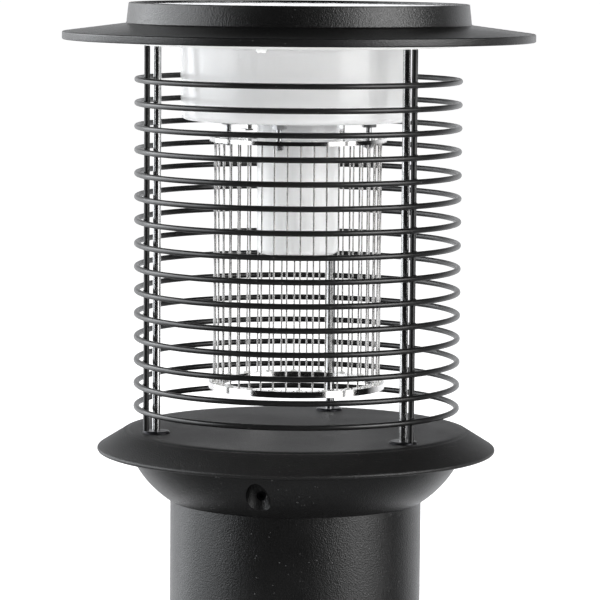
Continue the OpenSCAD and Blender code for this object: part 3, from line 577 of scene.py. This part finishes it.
# Grid: two nickel-plated steel rings hold forty straight wires, every second one live.
# The rings are stamped and tumbled bright, and the wires are drawn, so they mirror in thin lines.
def bright_nickel(name, light, dark, rough, stretch, relief=0.00001):
    material, tree, shader = new_material(name, metallic=1.0)
    streaks = noise(tree, object_place(tree, stretch), 700.0, 3.0)
    tarnish = noise(tree, object_place(tree), 60.0, 3.0)
    tone = mix_colour(tree, ramp_range(tree, streaks, 0.35, 0.65, 0.0, 1.0), light, dark)
    stain = ramp_range(tree, tarnish, 0.55, 0.75, 0.0, 0.4)
    join(tree, mix_colour(tree, stain, tone, tuple(c * 0.6 for c in dark)), shader.inputs["Base Color"])
    join(tree, ramp_range(tree, streaks, 0.3, 0.7, rough, rough + 0.06), shader.inputs["Roughness"])
    add_bump(tree, shader, streaks, 0.05, relief)
    return material


ring_nickel = bright_nickel("ring_nickel", (0.74, 0.73, 0.72), (0.66, 0.65, 0.64), 0.1, (1.0, 1.0, 1.0))
wire_nickel = bright_nickel("wire_nickel", (0.62, 0.61, 0.6), (0.54, 0.53, 0.52), 0.16, (1.0, 1.0, 0.01))
dress("grid_top_flange", ring_nickel)
dress("grid_bottom_ring", ring_nickel)
dress("live_wires", wire_nickel)
dress("return_wires", wire_nickel)
dress("grid_nuts", bright_zinc)
dress("grid_insulators", satin_plastic("glazed_bead", (0.85, 0.85, 0.83), (0.8, 0.8, 0.78),
                                       0.15, 900.0, 0.00003))
dress("grid_terminals", ring_nickel)


# Guard: fifteen rings of steel wire are spot welded to three rods, inside of which the tie rods stand.
# The whole cage is dipped in satin black paint.
# The third colour is the painted glint colour of the flecks.
guard_black = powder_coat("guard_black", (0.004, 0.004, 0.004), (0.007, 0.007, 0.007),
                          (0.1, 0.1, 0.1), 0.006, 0.32, 0.00008)
ring_names = sorted((n for n in nodes if n.startswith("guard_ring_")), key=lambda n: int(n.split("_")[-1]))
rod_names = sorted(n for n in nodes if n.startswith("guard_rod_"))
for node in ring_names + rod_names:
    dress(node, guard_black)

weld_size = Vector((0.0007, 0.0021, 0.0019))


def weld_beads(name):
    """A small blob where each ring touches each rod."""
    shape = bmesh.new()
    for ring in ring_names:
        ring_low, ring_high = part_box(ring)
        wire = (ring_high.z - ring_low.z) / 2
        for rod in rod_names:
            rod_low, rod_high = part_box(rod)
            centre = (rod_low + rod_high) / 2
            turn = math.atan2(centre.y, centre.x)
            spot = Matrix.Translation(((ring_high.x - 2 * wire), 0, (ring_low.z + ring_high.z) / 2))
            blob = Matrix.Rotation(turn, 4, "Z") @ spot @ Matrix.Diagonal((*weld_size, 1))
            bmesh.ops.create_icosphere(shape, subdivisions=3, radius=1.0, matrix=blob)
    return finish_mesh(name, shape)


place_piece(weld_beads("guard_welds"), "head", guard_black, "guard_wire_black")


# Cap: a spun aluminium shell with a wide brim that sheds the rain, and a drum that holds the panel.
# Its edges are rolled.
cap_low, cap_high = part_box("cap_shell")
plate_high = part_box("underside_plate")[1]
cap_sides = 256
drum_r = plate_high.x + 0.0052
drum_foot_r = drum_r + 0.0012
drum_foot_z = cap_high.z - 0.011
panel_pocket_r = drum_r - 0.0022
shelf_r = panel_pocket_r - 0.0158
shelf_z = cap_high.z - 0.0064
shelf_low_z = shelf_z - 0.0025
brim_r = cap_high.x
brim_edge_z = drum_foot_z - 0.0044
brim_edge_w = 0.004
cap = turned_piece("cap_spinning", rounded_outline([
    (panel_pocket_r, cap_high.z, 0.0005), (drum_r, cap_high.z, 0.0008),
    (drum_foot_r, drum_foot_z, 0.0012), (brim_r, brim_edge_z, 0.0009),
    (brim_r, cap_low.z, 0.0009), (brim_r - brim_edge_w, cap_low.z, 0.0006),
    (drum_r, drum_foot_z - wall, 0.001), (drum_r - 0.0012, shelf_low_z, 0.0004),
    (shelf_r, shelf_low_z, 0.0004), (shelf_r, shelf_z, 0.0004),
    (panel_pocket_r, shelf_z, 0.0003)], 6), True, cap_sides)
skirt_r = plate_high.x + 0.0002
skirt_out_r = skirt_r + 0.0025
skirt_top = shelf_z - 0.001
skirt = turned_piece("cap_skirt", [
    Vector((skirt_r, cap_low.z)), Vector((skirt_out_r, cap_low.z)),
    Vector((skirt_out_r, skirt_top)), Vector((skirt_r, skirt_top))], True, cap_sides)
boss_r = 0.004
boss_at = plate_high.x - boss_r - 0.001
boss_hole_r = 0.00145
boss_hole_top = shelf_z - 0.003
plate_bosses = upright_bar("plate_bosses", boss_r, plate_high.z, skirt_top, boss_at, pocket_turns)
blend_pieces(cap, "UNION", [skirt, plate_bosses])
blend_pieces(cap, "DIFFERENCE", [
    upright_bar("boss_holes", boss_hole_r, plate_high.z - past, boss_hole_top, boss_at, pocket_turns, 32)])
place_piece(cap, "head", black_coat, "black_powder_coat", "cap_shell")


# Solar panel: tempered glass over dark cells on a white sheet, bedded on a rubber ring in the drum.
# The glass is clear, and the cells carry fine silver fingers across two wider bars.
def make_panel_glass():
    material, tree, shader = new_material("panel_glass", transmission_weight=1.0, ior=1.5)
    dust = noise(tree, object_place(tree), 90.0, 4.0)
    film = ramp_range(tree, dust, 0.5, 0.8, 0.0, 0.3)
    join(tree, mix_colour(tree, film, (0.95, 0.97, 0.98), (0.85, 0.86, 0.86)), shader.inputs["Base Color"])
    join(tree, ramp_range(tree, dust, 0.4, 0.8, 0.02, 0.12), shader.inputs["Roughness"])
    add_bump(tree, shader, dust, 0.05, 0.00005)
    return material


def make_cells():
    """Fingers run every 2 mm along Y, and a bar crosses them every 26 mm."""
    finger_turns, bar_turns = 3140.0, 240.0
    material, tree, shader = new_material("silicon_cells", coat_roughness=0.1)
    place = object_place(tree)
    split = tree.nodes.new("ShaderNodeSeparateXYZ")
    join(tree, place, split.inputs["Vector"])
    fingers = arithmetic(tree, "GREATER_THAN", arithmetic(tree, "SINE", arithmetic(
        tree, "MULTIPLY", split.outputs["X"], finger_turns), 0.0), 0.93)
    bars = arithmetic(tree, "GREATER_THAN", arithmetic(tree, "SINE", arithmetic(
        tree, "MULTIPLY", split.outputs["Y"], bar_turns), 0.0), 0.985)
    silver = arithmetic(tree, "MAXIMUM", fingers, bars)
    crystal = noise(tree, place, 90.0, 2.0)
    facet = ramp_range(tree, crystal, 0.35, 0.65, 0.0, 1.0)
    blue = mix_colour(tree, facet, (0.012, 0.016, 0.04), (0.02, 0.03, 0.075))
    join(tree, mix_colour(tree, silver, blue, (0.5, 0.5, 0.52)), shader.inputs["Base Color"])
    join(tree, ramp_range(tree, crystal, 0.3, 0.7, 0.2, 0.35), shader.inputs["Roughness"])
    add_bump(tree, shader, silver, 0.2, 0.00003)
    return material


dress("solar_glass", make_panel_glass())
dress("solar_cells", make_cells())
dress("solar_backing", white_satin)
dress("panel_gasket", satin_plastic("gasket_rubber", (0.02, 0.02, 0.02), (0.03, 0.03, 0.03),
                                    0.6, 800.0, 0.0001))


# Battery, board and leads: they lie on the plate inside the cap, where nobody sees them in use.
# The cells are in shrink wrap, the transformer in tape, and the leads in PVC.
tray_plastic = satin_plastic("tray_plastic", (0.75, 0.75, 0.73), (0.7, 0.7, 0.68), 0.45, 1200.0, 0.00005)
shrink_wrap = satin_plastic("shrink_wrap", (0.05, 0.16, 0.42), (0.04, 0.13, 0.36), 0.25, 300.0, 0.0001)
winding_tape = satin_plastic("winding_tape", (0.72, 0.5, 0.08), (0.62, 0.42, 0.06), 0.3, 400.0, 0.0001)
dipped_epoxy = satin_plastic("dipped_epoxy", (0.32, 0.08, 0.05), (0.26, 0.06, 0.04), 0.2, 350.0, 0.0001)
lead_pvc = satin_plastic("lead_pvc", (0.55, 0.03, 0.03), (0.48, 0.03, 0.03), 0.35, 900.0, 0.00004)
dress("battery_tray", tray_plastic)
dress("battery_pack", shrink_wrap)
dress("hv_transformer", winding_tape)
dress("hv_capacitor", dipped_epoxy)
dress("internal_leads", lead_pvc)


# Power button: a soft black cap in a moulded bezel under the plate, with a steel spring behind it.
# It is pushed up from below, so it can be reached between the guard rings.
dress("button_housing", satin_plastic("bezel_plastic", (0.03, 0.03, 0.031), (0.04, 0.04, 0.041),
                                      0.4, 1500.0, 0.00006))
dress("power_button", satin_plastic("button_rubber", (0.022, 0.022, 0.023), (0.03, 0.03, 0.031),
                                    0.55, 1000.0, 0.00008))
dress("button_spring", bright_nickel("spring_wire", (0.6, 0.61, 0.63), (0.5, 0.5, 0.52),
                                     0.2, (1.0, 1.0, 1.0)))


# Studio: a plain white floor, a low and a high soft box on each side, and a pale room behind.
# The dark side of the room is where the camera stands, which keeps the coat's front near black.
floor_half_width = 60.0


def make_floor():
    shape = bmesh.new()
    bmesh.ops.create_grid(shape, x_segments=1, y_segments=1, size=floor_half_width)
    floor = finish_mesh("studio_floor", shape)
    material, tree, shader = new_material("pale_floor", roughness=0.9, specular_ior_level=0.0)
    soft = noise(tree, object_place(tree), 3.0, 2.0)
    join(tree, mix_colour(tree, soft, (0.86, 0.86, 0.86), (0.88, 0.88, 0.88)), shader.inputs["Base Color"])
    shader.inputs["Emission Color"].default_value = (1, 1, 1, 1)
    shader.inputs["Emission Strength"].default_value = 1.0
    floor.data.materials.append(material)
    floor.visible_glossy = False


make_floor()


light_aim_z = 0.28


def soft_box(name, bearing, distance, height, width, tall, power, colour, mirrored=True):
    """An area light facing the object. Bearing is in degrees from the camera's side, to the right."""
    light = bpy.data.lights.new(name, "AREA")
    light.shape = "RECTANGLE"
    light.size, light.size_y = width, tall
    light.energy = power
    light.color = colour
    lamp = bpy.data.objects.new(name, light)
    turn = math.radians(bearing)
    lamp.location = (distance * math.sin(turn), -distance * math.cos(turn), height)
    aim = Vector((0, 0, light_aim_z)) - lamp.location
    lamp.rotation_euler = aim.to_track_quat("-Z", "Y").to_euler()
    lamp.visible_glossy = mirrored
    bpy.context.scene.collection.objects.link(lamp)


soft_box("left_low_box", -98, 1.6, 0.0, 2.4, 0.7, 12.5, (0.94, 0.97, 1.0))
soft_box("left_high_box", -98, 1.6, 0.85, 2.4, 0.9, 38, (0.96, 0.98, 1.0))
soft_box("right_low_box", 59, 1.8, 0.0, 1.3, 0.7, 8.5, (1.0, 1.0, 1.0))
soft_box("right_high_box", 59, 1.8, 0.85, 1.3, 0.9, 30, (1.0, 1.0, 1.0))
soft_box("front_fill", 8, 2.2, 1.1, 1.6, 1.2, 13, (1.0, 1.0, 1.0), False)


def make_room():
    """A room that is pale behind the object up to a low height, and dark elsewhere."""
    world = bpy.data.worlds.new("studio_room")
    bpy.context.scene.world = world
    world.use_nodes = True
    tree = world.node_tree
    background = tree.nodes["Background"]
    direction = tree.nodes.new("ShaderNodeTexCoord").outputs["Generated"]
    split = tree.nodes.new("ShaderNodeSeparateXYZ")
    join(tree, direction, split.inputs["Vector"])
    behind = ramp_range(tree, split.outputs["Y"], 0.3, 0.8, 0.0, 1.25)
    low = ramp_range(tree, split.outputs["Z"], 0.14, 0.5, 1.0, 0.03)
    below = ramp_range(tree, split.outputs["Z"], -0.7, -0.25, 0.25, 0.01)
    glow = arithmetic(tree, "MAXIMUM", arithmetic(tree, "MULTIPLY", behind, low), below)
    seen = tree.nodes.new("ShaderNodeLightPath").outputs["Is Camera Ray"]
    join(tree, arithmetic(tree, "MAXIMUM", glow, seen), background.inputs["Strength"])
    background.inputs["Color"].default_value = (0.97, 0.98, 1.0, 1)


make_room()
bpy.context.scene.view_settings.view_transform = "Standard"


# Camera: a long lens a little above the cap, looking slightly down at the cage.
lens_mm = 207.0
sensor_mm = 36.0
aim_point = Vector((0.0016, 0.0, 0.243))
look_down = math.radians(5.9)
distance = 1.835
roll = math.radians(0.45)
camera_data = bpy.data.cameras.new("studio_camera")
camera_data.lens = lens_mm
camera_data.sensor_width = sensor_mm
camera_data.clip_end = 200.0
camera = bpy.data.objects.new("studio_camera", camera_data)
camera.location = aim_point + distance * Vector((0, -math.cos(look_down), math.sin(look_down)))
camera.rotation_euler = (Matrix.Rotation(math.pi / 2 - look_down, 3, "X")
                         @ Matrix.Rotation(roll, 3, "Z")).to_euler()
bpy.context.scene.collection.objects.link(camera)
bpy.context.scene.camera = camera


def corners(box):
    return [[float(v) for v in corner] for corner in box]
